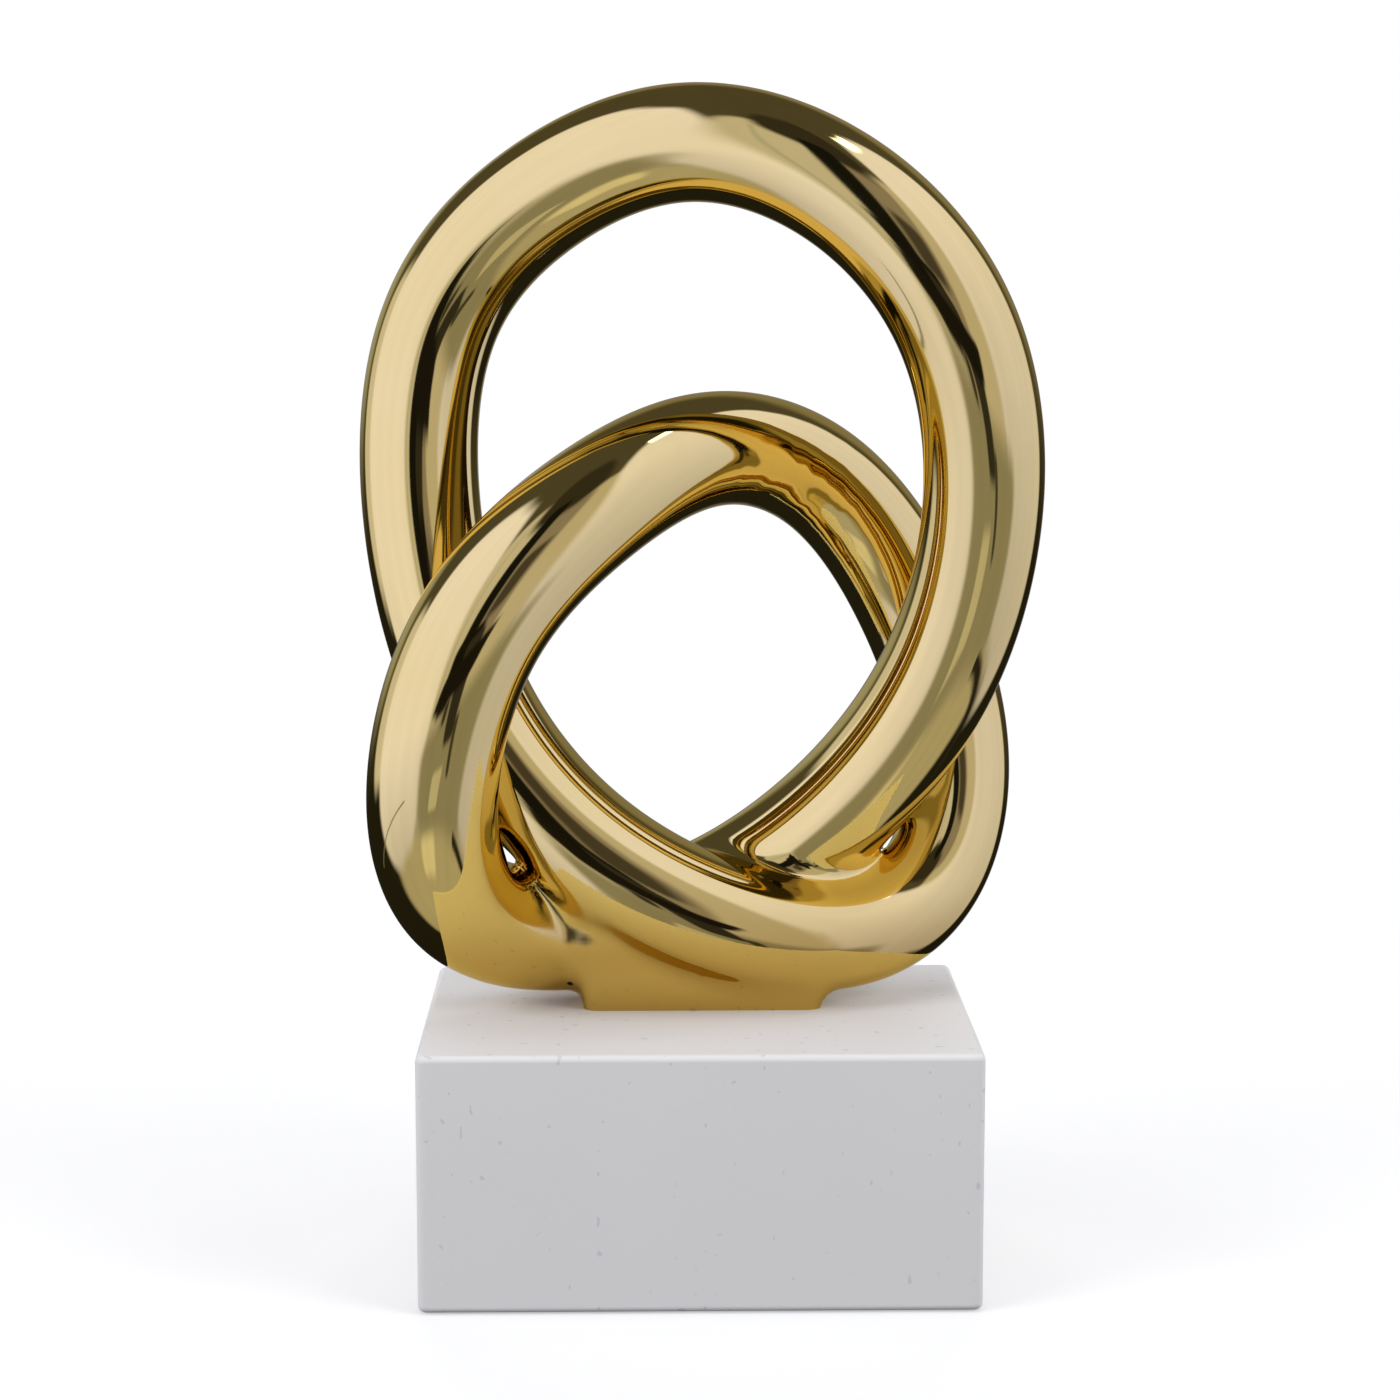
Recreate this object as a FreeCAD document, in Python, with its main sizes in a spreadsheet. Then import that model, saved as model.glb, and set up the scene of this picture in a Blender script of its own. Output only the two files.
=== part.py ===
import FreeCAD, Part
import Sketcher

import math
import os

# Knot sculpture: one closed tube tied in a three-crossing knot, standing by a small foot
# on a white block. Lengths are in millimetres. The origin is the centre of the rest face
# under the pads, +Z is up and -Y is the front.

doc = FreeCAD.newDocument("KnotSculpture")
sizes = doc.addObject("Spreadsheet::Sheet", "Sizes")

drivingSizes = [
    # the block and its pads
    ("plinthWide", 175),
    ("plinthDeep", 125),
    ("plinthTall", 81.5),
    ("plinthCornerRound", 3),
    ("plinthEdgeRound", 2),
    ("padDiameter", 18),
    ("padThick", 1.5),
    ("padProud", 0.5),
    ("padInset", 16),
    ("padClearance", 0.2),
    # the knot, measured over its tube
    ("knotWide", 216),
    ("knotDeep", 120),
    ("knotTall", 296),
    ("tubeDiameter", 38),
    ("tubeWall", 2),
    # the short sleeves that carry the butt joints of the tube
    ("sleeveLength", 16),
    ("sleeveWall", 1.5),
    ("sleeveClearance", 0.3),
    # the drain hole in the underside of the tube
    ("ventDiameter", 2.5),
    # the foot, and where its middle lies from the middle of the block
    ("footWide", 77),
    ("footDeep", 28),
    ("footTall", 19),
    ("footCornerRound", 5),
    ("footToRight", 1.5),
    ("footToRear", 10),
    # the two studs and what clamps them
    ("studDiameter", 6),
    ("studSpacing", 44),
    ("studBite", 5.5),
    ("studPastNut", 2),
    ("studTip", 0.8),
    ("threadClearance", 0.05),
    ("boreClearance", 0.4),
    ("nutFlats", 10),
    ("nutTall", 5),
    ("washerDiameter", 18),
    ("washerThick", 1.6),
    ("lockRingDiameter", 11),
    ("lockRingThick", 1.6),
    ("lockRingSlit", 1.2),
    ("recessDiameter", 24),
    ("recessDeep", 28),
    ("cutOverrun", 5),
]

for row, (alias, value) in enumerate(drivingSizes, start=1):
    sizes.set("A%d" % row, alias)
    sizes.set("B%d" % row, str(value))
    sizes.setAlias("B%d" % row, alias)
doc.recompute()


def size(alias):
    return float(sizes.get(alias))


# Guide points of the tube's centre line, which is a closed cubic curve that leans on them.
# Each row holds shares of the knot's width to the right, of its depth to the rear, of its
# height above the block, and of the tube's diameter. They start at the top and go left.
guideShares = [
    (-0.015, -0.085, 0.955, 0.96),
    (-0.230, 0.020, 0.890, 0.97),
    (-0.400, 0.095, 0.765, 0.98),
    (-0.425, 0.100, 0.555, 1.00),
    (-0.355, 0.045, 0.330, 1.01),
    (-0.175, -0.025, 0.170, 1.03),
    (0.065, -0.030, 0.085, 0.99),
    (0.265, 0.080, 0.065, 0.92),
    (0.390, 0.235, 0.135, 0.89),
    (0.415, 0.345, 0.280, 0.96),
    (0.330, 0.345, 0.450, 0.99),
    (0.200, 0.225, 0.585, 0.94),
    (0.025, 0.010, 0.630, 0.94),
    (-0.145, -0.215, 0.570, 1.03),
    (-0.330, -0.335, 0.450, 1.08),
    (-0.400, -0.300, 0.260, 1.09),
    (-0.370, -0.105, 0.115, 1.05),
    (-0.225, 0.125, 0.065, 1.01),
    (-0.005, 0.235, 0.085, 1.00),
    (0.210, 0.155, 0.195, 1.01),
    (0.375, -0.015, 0.365, 1.00),
    (0.430, -0.165, 0.575, 0.99),
    (0.380, -0.225, 0.765, 1.01),
    (0.210, -0.185, 0.900, 0.97),
]

# The tube is made of eight pieces, from the top towards the left. Each spans three guide
# points, and the first one has the top guide point in its middle.
tubeNames = [
    "crown_arch",
    "left_flank",
    "front_sweep",
    "right_bow",
    "rear_arch",
    "left_bow",
    "back_sweep",
    "right_flank",
]
pointsPerPiece = 3
sectionsPerPiece = 13

# The drain hole: how far along the back sweep, and the direction that it faces.
ventAlongShare = 0.167
ventFacing = FreeCAD.Vector(0.24, -0.64, -0.73)


def tubeStart(name):
    # the guide position where a piece of tube starts
    return pointsPerPiece * (tubeNames.index(name) - 1 / 2)


def guideWeights(fraction):
    # the four weights of a uniform cubic curve, and their slopes
    rest = 1 - fraction
    weights = (
        rest ** 3 / 6,
        (3 * fraction ** 3 - 6 * fraction ** 2 + 4) / 6,
        (3 * rest ** 3 - 6 * rest ** 2 + 4) / 6,
        fraction ** 3 / 6,
    )
    slopes = (
        -rest ** 2 / 2,
        (3 * fraction ** 2 - 4 * fraction) / 2,
        (4 * rest - 3 * rest ** 2) / 2,
        fraction ** 2 / 2,
    )
    return weights, slopes


def station(along):
    # shares of place and girth, and the direction of the centre line, at a guide position
    first = math.floor(along)
    weights, slopes = guideWeights(along - first)
    near = [guideShares[(first + step - 1) % len(guideShares)] for step in range(4)]
    shares = [sum(w * point[k] for w, point in zip(weights, near)) for k in range(4)]
    slope = [sum(s * point[k] for s, point in zip(slopes, near)) for k in range(3)]
    heading = FreeCAD.Vector(
        slope[0] * size("knotWide"),
        slope[1] * size("knotDeep"),
        slope[2] * size("knotTall"),
    )
    return shares, heading.normalize()


def tubeSection(name, along, inset, seam):
    # a circle square to the centre line, starting on the seam's side; inset is an expression
    # taken off the radius
    shares, heading = station(along)
    seam = (seam - heading * seam.dot(heading)).normalize()
    circle = doc.addObject("Part::Circle", name)
    circle.Placement.Rotation = FreeCAD.Rotation(seam, heading.cross(seam), heading, "ZXY")
    circle.setExpression("Placement.Base.x", "Sizes.knotWide * %.6f" % shares[0])
    circle.setExpression("Placement.Base.y", "Sizes.knotDeep * %.6f" % shares[1])
    circle.setExpression(
        "Placement.Base.z",
        "Sizes.padProud + Sizes.plinthTall + Sizes.knotTall * %.6f" % shares[2],
    )
    circle.setExpression("Radius", "Sizes.tubeDiameter / 2 * %.6f - (%s)" % (shares[3], inset))
    return circle, seam


def tubeLoft(name, start, end, count, inset):
    # the seam is carried from ring to ring, so the skin never twists
    rings = []
    seam = FreeCAD.Vector(0, 1, 0)
    for i in range(count):
        along = start + (end - start) * i / (count - 1)
        circle, seam = tubeSection("%s_ring%d" % (name, i), along, inset, seam)
        rings.append(circle)
    loft = doc.addObject("Part::Loft", name)
    loft.Sections = rings
    loft.Solid = True
    loft.Ruled = False
    return loft


def cut(name, base, tool):
    result = doc.addObject("Part::Cut", name)
    result.Base = base
    result.Tool = tool
    result.Refine = False
    return result


def cylinder(name, diameter, height, x, y, z):
    # every argument but the name is an expression
    shape = doc.addObject("Part::Cylinder", name)
    shape.setExpression("Radius", "(%s) / 2" % diameter)
    shape.setExpression("Height", height)
    shape.setExpression("Placement.Base.x", x)
    shape.setExpression("Placement.Base.y", y)
    shape.setExpression("Placement.Base.z", z)
    return shape


def ring(name, outer, inner, height, x, y, z):
    bore = cylinder(name + "_bore", inner, height, x, y, z)
    return cut(name, cylinder(name + "_disc", outer, height, x, y, z), bore)


def originPlane(body, role):
    return [plane for plane in body.Origin.OriginFeatures if plane.Role == role][0]


def sketchOn(body, name):
    sketch = body.newObject("Sketcher::SketchObject", name)
    sketch.AttachmentSupport = [(originPlane(body, "XY_Plane"), "")]
    sketch.MapMode = "FlatFace"
    return sketch


def sketchRectangle(sketch, wide, deep):
    # a rectangle about the origin; the start sizes are read, and the expressions hold them
    halfWide = size(wide) / 2
    halfDeep = size(deep) / 2
    corners = [
        FreeCAD.Vector(-halfWide, -halfDeep, 0),
        FreeCAD.Vector(halfWide, -halfDeep, 0),
        FreeCAD.Vector(halfWide, halfDeep, 0),
        FreeCAD.Vector(-halfWide, halfDeep, 0),
    ]
    for i in range(4):
        sketch.addGeometry(Part.LineSegment(corners[i], corners[(i + 1) % 4]))
    for i in range(4):
        sketch.addConstraint(Sketcher.Constraint("Coincident", i, 2, (i + 1) % 4, 1))
    sketch.addConstraint(Sketcher.Constraint("Horizontal", 0))
    sketch.addConstraint(Sketcher.Constraint("Horizontal", 2))
    sketch.addConstraint(Sketcher.Constraint("Vertical", 1))
    sketch.addConstraint(Sketcher.Constraint("Vertical", 3))
    sketch.addConstraint(Sketcher.Constraint("Symmetric", 0, 1, 2, 1, -1, 1))
    across = sketch.addConstraint(Sketcher.Constraint("DistanceX", 0, 1, 0, 2, size(wide)))
    along = sketch.addConstraint(Sketcher.Constraint("DistanceY", 1, 1, 1, 2, size(deep)))
    sketch.setExpression("Constraints[%d]" % across, "Sizes.%s" % wide)
    sketch.setExpression("Constraints[%d]" % along, "Sizes.%s" % deep)


def roundEdges(body, name, base, wanted, radius):
    edges = ["Edge%d" % (i + 1) for i, edge in enumerate(base.Shape.Edges) if wanted(edge)]
    rounding = body.newObject("PartDesign::Fillet", name)
    rounding.Base = (base, edges)
    rounding.setExpression("Radius", "Sizes.%s" % radius)
    doc.recompute()
    return rounding


def isUpright(edge):
    return edge.BoundBox.ZLength > edge.BoundBox.DiagonalLength / 2


def isLevel(edge):
    return not isUpright(edge)


def slab(name, wide, deep, tall, corner):
    # a rectangular body with its upright corners rounded, standing on its own XY plane
    body = doc.addObject("PartDesign::Body", name)
    outline = sketchOn(body, name + "_outline")
    sketchRectangle(outline, wide, deep)
    pad = body.newObject("PartDesign::Pad", name + "_pad")
    pad.Profile = outline
    pad.setExpression("Length", "Sizes.%s" % tall)
    doc.recompute()
    return body, roundEdges(body, name + "_corners", pad, isUpright, corner)


# Places that more than one piece uses, written as expressions of the sheet.
plinthTop = "Sizes.padProud + Sizes.plinthTall"
recessTop = "Sizes.padProud + Sizes.recessDeep"
washerUnder = recessTop + " - Sizes.washerThick"
lockRingUnder = washerUnder + " - Sizes.lockRingThick"
nutUnder = lockRingUnder + " - Sizes.nutTall"
studUnder = nutUnder + " - Sizes.studPastNut"
studLength = "%s + Sizes.studBite - (%s)" % (plinthTop, studUnder)
studHole = "Sizes.studDiameter + 2 * Sizes.threadClearance"
studBore = "Sizes.studDiameter + 2 * Sizes.boreClearance"
footRear = "Sizes.footToRear"
studSides = [("left", "-"), ("right", "+")]
padCorners = [
    ("front_left", "-", "-"),
    ("front_right", "+", "-"),
    ("rear_left", "-", "+"),
    ("rear_right", "+", "+"),
]


def studAcross(sign):
    return "Sizes.footToRight %s Sizes.studSpacing / 2" % sign


def padPlace(sideSign, rearSign):
    return (
        "%s(Sizes.plinthWide / 2 - Sizes.padInset)" % sideSign,
        "%s(Sizes.plinthDeep / 2 - Sizes.padInset)" % rearSign,
    )


# Where two strands pass or run together, the rear one is coped round the front one.
strandsBehind = [
    ("left_flank", "left_bow"),
    ("front_sweep", "left_bow"),
    ("back_sweep", "front_sweep"),
    ("rear_arch", "right_flank"),
    ("right_bow", "right_flank"),
]


def cope(label, piece, strand, solid):
    # takes off a piece of this strand what the strands in front of it need
    for rearName, frontName in strandsBehind:
        if rearName == strand:
            piece = cut("%s_behind_%s" % (label, frontName), piece, solid[frontName])
    return piece


def buildTube():
    # each piece is a thin-walled loft
    solid = {}
    hollow = {}
    for name in tubeNames:
        start = tubeStart(name)
        end = start + pointsPerPiece
        solid[name] = tubeLoft(name + "_outside", start, end, sectionsPerPiece, "0")
        bore = tubeLoft(name + "_inside", start, end, sectionsPerPiece, "Sizes.tubeWall")
        hollow[name] = cut(name + "_shell", solid[name], bore)
    for name in tubeNames:
        hollow[name] = cope(name, hollow[name], name, solid)
    hollow["back_sweep"] = cutVent(hollow["back_sweep"])
    return solid, hollow


def cutVent(shell):
    shares, heading = station(tubeStart("back_sweep") + pointsPerPiece * ventAlongShare)
    outward = (ventFacing - heading * ventFacing.dot(heading)).normalize()
    drill = doc.addObject("Part::Cylinder", "vent_drill")
    drill.setExpression("Radius", "Sizes.ventDiameter / 2")
    drill.setExpression("Height", "Sizes.tubeDiameter / 2 + Sizes.cutOverrun")
    drill.Placement.Rotation = FreeCAD.Rotation(FreeCAD.Vector(0, 0, 1), outward)
    drill.setExpression("Placement.Base.x", "Sizes.knotWide * %.6f" % shares[0])
    drill.setExpression("Placement.Base.y", "Sizes.knotDeep * %.6f" % shares[1])
    drill.setExpression(
        "Placement.Base.z", "%s + Sizes.knotTall * %.6f" % (plinthTop, shares[2])
    )
    return cut("back_sweep_vented", shell, drill)


def pieceLength(start):
    # length of one piece's centre line, walked between its sections
    places = []
    for i in range(sectionsPerPiece):
        shares, heading = station(start + pointsPerPiece * i / (sectionsPerPiece - 1))
        places.append(FreeCAD.Vector(
            shares[0] * size("knotWide"),
            shares[1] * size("knotDeep"),
            shares[2] * size("knotTall"),
        ))
    return sum((b - a).Length for a, b in zip(places, places[1:]))


def buildSleeve(tubeName, solid):
    # a short liner across the joint where this piece of tube starts, coped with both strands
    start = tubeStart(tubeName)
    reach = size("sleeveLength") / 2 * pointsPerPiece / pieceLength(start)
    outer = "Sizes.tubeWall + Sizes.sleeveClearance"
    name = "sleeve_" + tubeName
    body = tubeLoft(name + "_outside", start - reach, start + reach, 3, outer)
    bore = tubeLoft(name + "_inside", start - reach, start + reach, 3, outer + " + Sizes.sleeveWall")
    liner = cut(name + "_ring", body, bore)
    for strand in (tubeNames[tubeNames.index(tubeName) - 1], tubeName):
        liner = cope(name, liner, strand, solid)
    return liner


def buildFoot(solid):
    # the foot stands on the block and is coped round the two strands that it carries
    body, corners = slab("foot_core", "footWide", "footDeep", "footTall", "footCornerRound")
    body.setExpression("Placement.Base.x", "Sizes.footToRight")
    body.setExpression("Placement.Base.y", footRear)
    body.setExpression("Placement.Base.z", plinthTop)
    foot = body
    for strand in ("front_sweep", "right_bow", "left_bow", "back_sweep"):
        foot = cut("foot_under_" + strand, foot, solid[strand])
    for side, sign in studSides:
        drill = cylinder("foot_drill_" + side, studHole, "Sizes.studBite + Sizes.cutOverrun",
                         studAcross(sign), footRear, plinthTop + " - Sizes.cutOverrun")
        foot = cut("foot_drilled_" + side, foot, drill)
    return foot


def buildPlinth():
    body, corners = slab("plinth_core", "plinthWide", "plinthDeep", "plinthTall", "plinthCornerRound")
    roundEdges(body, "plinth_edges", corners, isLevel, "plinthEdgeRound")
    body.setExpression("Placement.Base.z", "Sizes.padProud")
    plinth = body
    for side, sign in studSides:
        place = (studAcross(sign), footRear)
        bore = cylinder("plinth_bore_" + side, studBore, "Sizes.plinthTall + 2 * Sizes.cutOverrun",
                        *place, "Sizes.padProud - Sizes.cutOverrun")
        recess = cylinder("plinth_recess_" + side, "Sizes.recessDiameter",
                          "Sizes.recessDeep + Sizes.cutOverrun",
                          *place, "Sizes.padProud - Sizes.cutOverrun")
        plinth = cut("plinth_bored_" + side, plinth, bore)
        plinth = cut("plinth_recessed_" + side, plinth, recess)
    for corner, sideSign, rearSign in padCorners:
        seat = cylinder("pad_seat_" + corner, "Sizes.padDiameter + 2 * Sizes.padClearance",
                        "Sizes.padThick", *padPlace(sideSign, rearSign), "0")
        plinth = cut("plinth_seated_" + corner, plinth, seat)
    return plinth


def buildPad(corner, sideSign, rearSign):
    return cylinder("pad_disc_" + corner, "Sizes.padDiameter", "Sizes.padThick",
                    *padPlace(sideSign, rearSign), "0")


def buildStud(side, sign):
    rod = cylinder("stud_rod_" + side, "Sizes.studDiameter", studLength,
                   studAcross(sign), footRear, studUnder)
    doc.recompute()
    tips = doc.addObject("Part::Chamfer", "stud_tips_" + side)
    tips.Base = rod
    rims = [i + 1 for i, edge in enumerate(rod.Shape.Edges) if edge.Closed]
    tips.Edges = [(i, size("studTip"), size("studTip")) for i in rims]
    return tips


def buildNut(side, sign):
    prism = doc.addObject("Part::Prism", "nut_prism_" + side)
    prism.Polygon = 6
    prism.setExpression("Circumradius", "Sizes.nutFlats / sqrt(3)")
    prism.setExpression("Height", "Sizes.nutTall")
    prism.setExpression("Placement.Base.x", studAcross(sign))
    prism.setExpression("Placement.Base.y", footRear)
    prism.setExpression("Placement.Base.z", nutUnder)
    bore = cylinder("nut_bore_" + side, studHole, "Sizes.nutTall", studAcross(sign), footRear, nutUnder)
    return cut("nut_body_" + side, prism, bore)


def buildWasher(side, sign):
    return ring("washer_ring_" + side, "Sizes.washerDiameter", studBore, "Sizes.washerThick",
                studAcross(sign), footRear, washerUnder)


def buildLockRing(side, sign):
    # a split ring, pressed flat by the nut
    closed = ring("lock_ring_round_" + side, "Sizes.lockRingDiameter", studBore,
                  "Sizes.lockRingThick", studAcross(sign), footRear, lockRingUnder)
    slit = doc.addObject("Part::Box", "lock_ring_slit_" + side)
    slit.setExpression("Length", "Sizes.lockRingSlit")
    slit.setExpression("Width", "Sizes.lockRingDiameter")
    slit.setExpression("Height", "Sizes.lockRingThick")
    slit.setExpression("Placement.Base.x", "%s - Sizes.lockRingSlit / 2" % studAcross(sign))
    slit.setExpression("Placement.Base.y", footRear)
    slit.setExpression("Placement.Base.z", lockRingUnder)
    return cut("lock_ring_split_" + side, closed, slit)


solid, hollow = buildTube()
pieces = dict(hollow)
for tubeName in tubeNames:
    pieces["sleeve_" + tubeName] = buildSleeve(tubeName, solid)
pieces["foot_block"] = buildFoot(solid)
pieces["plinth_block"] = buildPlinth()
for padCorner in padCorners:
    pieces["felt_pad_" + padCorner[0]] = buildPad(*padCorner)
for studSide in studSides:
    pieces["stud_" + studSide[0]] = buildStud(*studSide)
    pieces["nut_" + studSide[0]] = buildNut(*studSide)
    pieces["washer_" + studSide[0]] = buildWasher(*studSide)
    pieces["lock_washer_" + studSide[0]] = buildLockRing(*studSide)
for nodeName, piece in pieces.items():
    piece.Label = nodeName
doc.recompute()

for made in doc.Objects:
    if "Invalid" in made.State or "Error" in made.State:
        raise RuntimeError("%s did not build: %s" % (made.Name, made.State))
for nodeName, piece in pieces.items():
    if piece.Shape.isNull() or not piece.Shape.isValid() or not piece.Shape.Solids:
        raise RuntimeError("%s is not a sound solid" % nodeName)

os.makedirs("parts", exist_ok=True)
for nodeName, piece in pieces.items():
    piece.Shape.exportStep("parts/%s.step" % nodeName)
    box = piece.Shape.BoundBox
    print("%-24s %d solid, %9.1f mm3, z %.1f to %.1f" % (
        nodeName, len(piece.Shape.Solids), piece.Shape.Volume, box.ZMin, box.ZMax))
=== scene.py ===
import math

import bmesh
import bpy
import numpy as np
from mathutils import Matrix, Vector


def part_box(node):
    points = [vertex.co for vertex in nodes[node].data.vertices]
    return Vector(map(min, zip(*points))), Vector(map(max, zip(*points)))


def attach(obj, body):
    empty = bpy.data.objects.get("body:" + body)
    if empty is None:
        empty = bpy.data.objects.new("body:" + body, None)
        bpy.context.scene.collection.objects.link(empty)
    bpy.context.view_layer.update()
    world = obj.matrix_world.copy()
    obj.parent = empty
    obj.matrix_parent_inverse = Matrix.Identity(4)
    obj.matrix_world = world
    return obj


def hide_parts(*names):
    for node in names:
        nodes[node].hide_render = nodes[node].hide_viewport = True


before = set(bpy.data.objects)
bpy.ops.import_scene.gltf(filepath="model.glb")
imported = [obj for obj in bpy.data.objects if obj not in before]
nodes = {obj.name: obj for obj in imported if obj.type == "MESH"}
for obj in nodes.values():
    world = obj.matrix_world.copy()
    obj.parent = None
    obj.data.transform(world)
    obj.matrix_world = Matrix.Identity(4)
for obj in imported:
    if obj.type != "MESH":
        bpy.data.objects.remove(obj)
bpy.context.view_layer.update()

# Looks of the knot sculpture: one polished skin over the welded tube and its foot, a matte
# lacquered block, the brass sleeves and steel fasteners inside, and a soft studio round it.
# Lengths are in metres and angles in degrees. The front is -Y and +Z is up.

scene = bpy.context.scene
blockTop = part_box("plinth_block")[1].z
print("frame loaded, block top at %.4f" % blockTop)


# materials

def newMaterial(name):
    material = bpy.data.materials.new(name)
    material.use_nodes = True
    tree = material.node_tree
    place = tree.nodes.new("ShaderNodeTexCoord")
    return material, tree, tree.nodes["Principled BSDF"], place.outputs["Object"]


def feed(tree, socket, value):
    # sets a number or a colour on the socket, or links another socket to it
    if isinstance(value, (int, float)):
        socket.default_value = value
    elif isinstance(value, tuple):
        socket.default_value = (*value, 1)
    else:
        tree.links.new(value, socket)


def calc(tree, operation, *values):
    node = tree.nodes.new("ShaderNodeMath")
    node.operation = operation
    for socket, value in zip(node.inputs, values):
        feed(tree, socket, value)
    return node.outputs[0]


def remap(tree, value, low, high, newLow, newHigh, smooth=False):
    # carries the span from low to high over to the new one, and holds its ends
    node = tree.nodes.new("ShaderNodeMapRange")
    if smooth:
        node.interpolation_type = "SMOOTHSTEP"
    names = ("Value", "From Min", "From Max", "To Min", "To Max")
    for name, given in zip(names, (value, low, high, newLow, newHigh)):
        feed(tree, node.inputs[name], given)
    return node.outputs["Result"]


def noise(tree, place, size, detail=2.0, twist=0.0):
    # soft random pattern whose blobs are about this size
    node = tree.nodes.new("ShaderNodeTexNoise")
    node.inputs["Scale"].default_value = 1.0 / size
    node.inputs["Detail"].default_value = detail
    node.inputs["Distortion"].default_value = twist
    tree.links.new(place, node.inputs["Vector"])
    return node.outputs["Fac"]


def distanceTo(tree, place, spot):
    node = tree.nodes.new("ShaderNodeVectorMath")
    node.operation = "DISTANCE"
    tree.links.new(place, node.inputs[0])
    node.inputs[1].default_value = spot
    return node.outputs["Value"]


def blendColours(tree, share, first, second):
    node = tree.nodes.new("ShaderNodeMix")
    node.data_type = "RGBA"
    tree.links.new(share, node.inputs["Factor"])
    feed(tree, node.inputs[6], first)  # the two colours, after the node's plain numbers
    feed(tree, node.inputs[7], second)
    return node.outputs[2]


def scaleColour(tree, colour, factor):
    node = tree.nodes.new("ShaderNodeVectorMath")
    node.operation = "SCALE"
    tree.links.new(colour, node.inputs[0])
    tree.links.new(factor, node.inputs["Scale"])
    return node.outputs[0]


def bump(tree, height, depth, under=None):
    # raises the surface by height times depth, on top of another bump
    node = tree.nodes.new("ShaderNodeBump")
    node.inputs["Strength"].default_value = 1.0
    node.inputs["Distance"].default_value = depth
    tree.links.new(height, node.inputs["Height"])
    if under is not None:
        tree.links.new(under, node.inputs["Normal"])
    return node.outputs["Normal"]


gold = {
    "tone": (0.77, 0.565, 0.16),
    "driftTone": (0.75, 0.545, 0.145),
    "driftSize": 0.05,
    "driftLow": 0.35,
    "driftHigh": 0.65,
    "paintedShadeTone": (0.616, 0.407, 0.096),
    "paintedShadeFull": 0.098,  # height where the painted shade is full
    "paintedShadeGone": 0.125,
    "roughLow": 0.03,
    "roughHigh": 0.065,
    "smudgeSize": 0.035,
    "smudgeDetail": 5.0,
    "smudgeTwist": 0.6,
    "smudgeLow": 0.35,
    "smudgeHigh": 0.7,
    "rippleSize": 0.022,
    "rippleDepth": 0.00004,
    "meltPlace": (0.030, 0.0, 0.243),
    "meltReach": 0.05,
    "meltSize": 0.011,
    "meltDepth": 0.00022,
    "satinPlace": (-0.034, -0.003, 0.108),
    "satinReach": 0.030,
    "satinRough": 0.18,
    "coreShare": 0.2,  # of a reach, within which a place has its full effect
    "edgeTone": (0.95, 0.86, 0.58),
    "grainSize": 0.0012,
    "grainDepth": 0.0000008,
}


def makeGold():
    # Plated mirror: faint drift of tone, smudges in the gloss, slow ripples and a fine grain,
    # with painted shade that makes the gold darker and deeper towards the foot, where its
    # reflections are shaded. The ripples are deeper where the polish has run on top of the rear
    # arch, and the low left valley, which the wheel can't reach, is satin.
    material, tree, shader, place = newMaterial("platedGold")

    def nearness(spot, reach):
        # one close to the spot, and nothing past the reach
        core = reach * gold["coreShare"]
        return remap(tree, distanceTo(tree, place, spot), core, reach, 1, 0, smooth=True)

    drift = noise(tree, place, gold["driftSize"])
    drift = remap(tree, drift, gold["driftLow"], gold["driftHigh"], 0, 1)
    colour = blendColours(tree, drift, gold["tone"], gold["driftTone"])
    split = tree.nodes.new("ShaderNodeSeparateXYZ")
    tree.links.new(place, split.inputs[0])
    # painted shade: the gold turns to the darker, deeper tone towards the block, where its
    # reflections are shaded
    low = remap(tree, split.outputs["Z"], gold["paintedShadeFull"], gold["paintedShadeGone"], 1, 0, smooth=True)
    colour = blendColours(tree, low, colour, gold["paintedShadeTone"])
    tree.links.new(colour, shader.inputs["Base Color"])

    smudges = noise(tree, place, gold["smudgeSize"], gold["smudgeDetail"], gold["smudgeTwist"])
    rough = remap(tree, smudges, gold["smudgeLow"], gold["smudgeHigh"],
                  gold["roughLow"], gold["roughHigh"])
    satin = nearness(gold["satinPlace"], gold["satinReach"])
    satin = calc(tree, "MULTIPLY", satin, gold["satinRough"])
    tree.links.new(calc(tree, "ADD", rough, satin), shader.inputs["Roughness"])

    ripples = bump(tree, noise(tree, place, gold["rippleSize"], 1.0), gold["rippleDepth"])
    inside = nearness(gold["meltPlace"], gold["meltReach"])
    run = calc(tree, "MULTIPLY", noise(tree, place, gold["meltSize"], 1.0), inside)
    melted = bump(tree, run, gold["meltDepth"], ripples)
    grain = bump(tree, noise(tree, place, gold["grainSize"]), gold["grainDepth"], melted)
    tree.links.new(grain, shader.inputs["Normal"])
    shader.inputs["Metallic"].default_value = 1.0
    feed(tree, shader.inputs["Specular Tint"], gold["edgeTone"])
    return material


lacquer = {
    "tone": (0.775, 0.765, 0.735),
    "driftTone": (0.765, 0.755, 0.725),
    "driftSize": 0.06,
    "driftLow": 0.35,
    "driftHigh": 0.65,
    "roughLow": 0.47,
    "roughHigh": 0.58,
    "patchSize": 0.02,
    "patchLow": 0.3,
    "patchHigh": 0.7,
    "sprayDepth": 0.000012,
    "spraySize": 0.0016,
    "detail": 3.0,
    "gleam": 0.1,
    "fleckTone": (0.64, 0.64, 0.63),
    "fleckSize": 0.003,
    "fleckRare": 0.79,  # higher is rarer
    "fleckSoft": 0.03,
}


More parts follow.
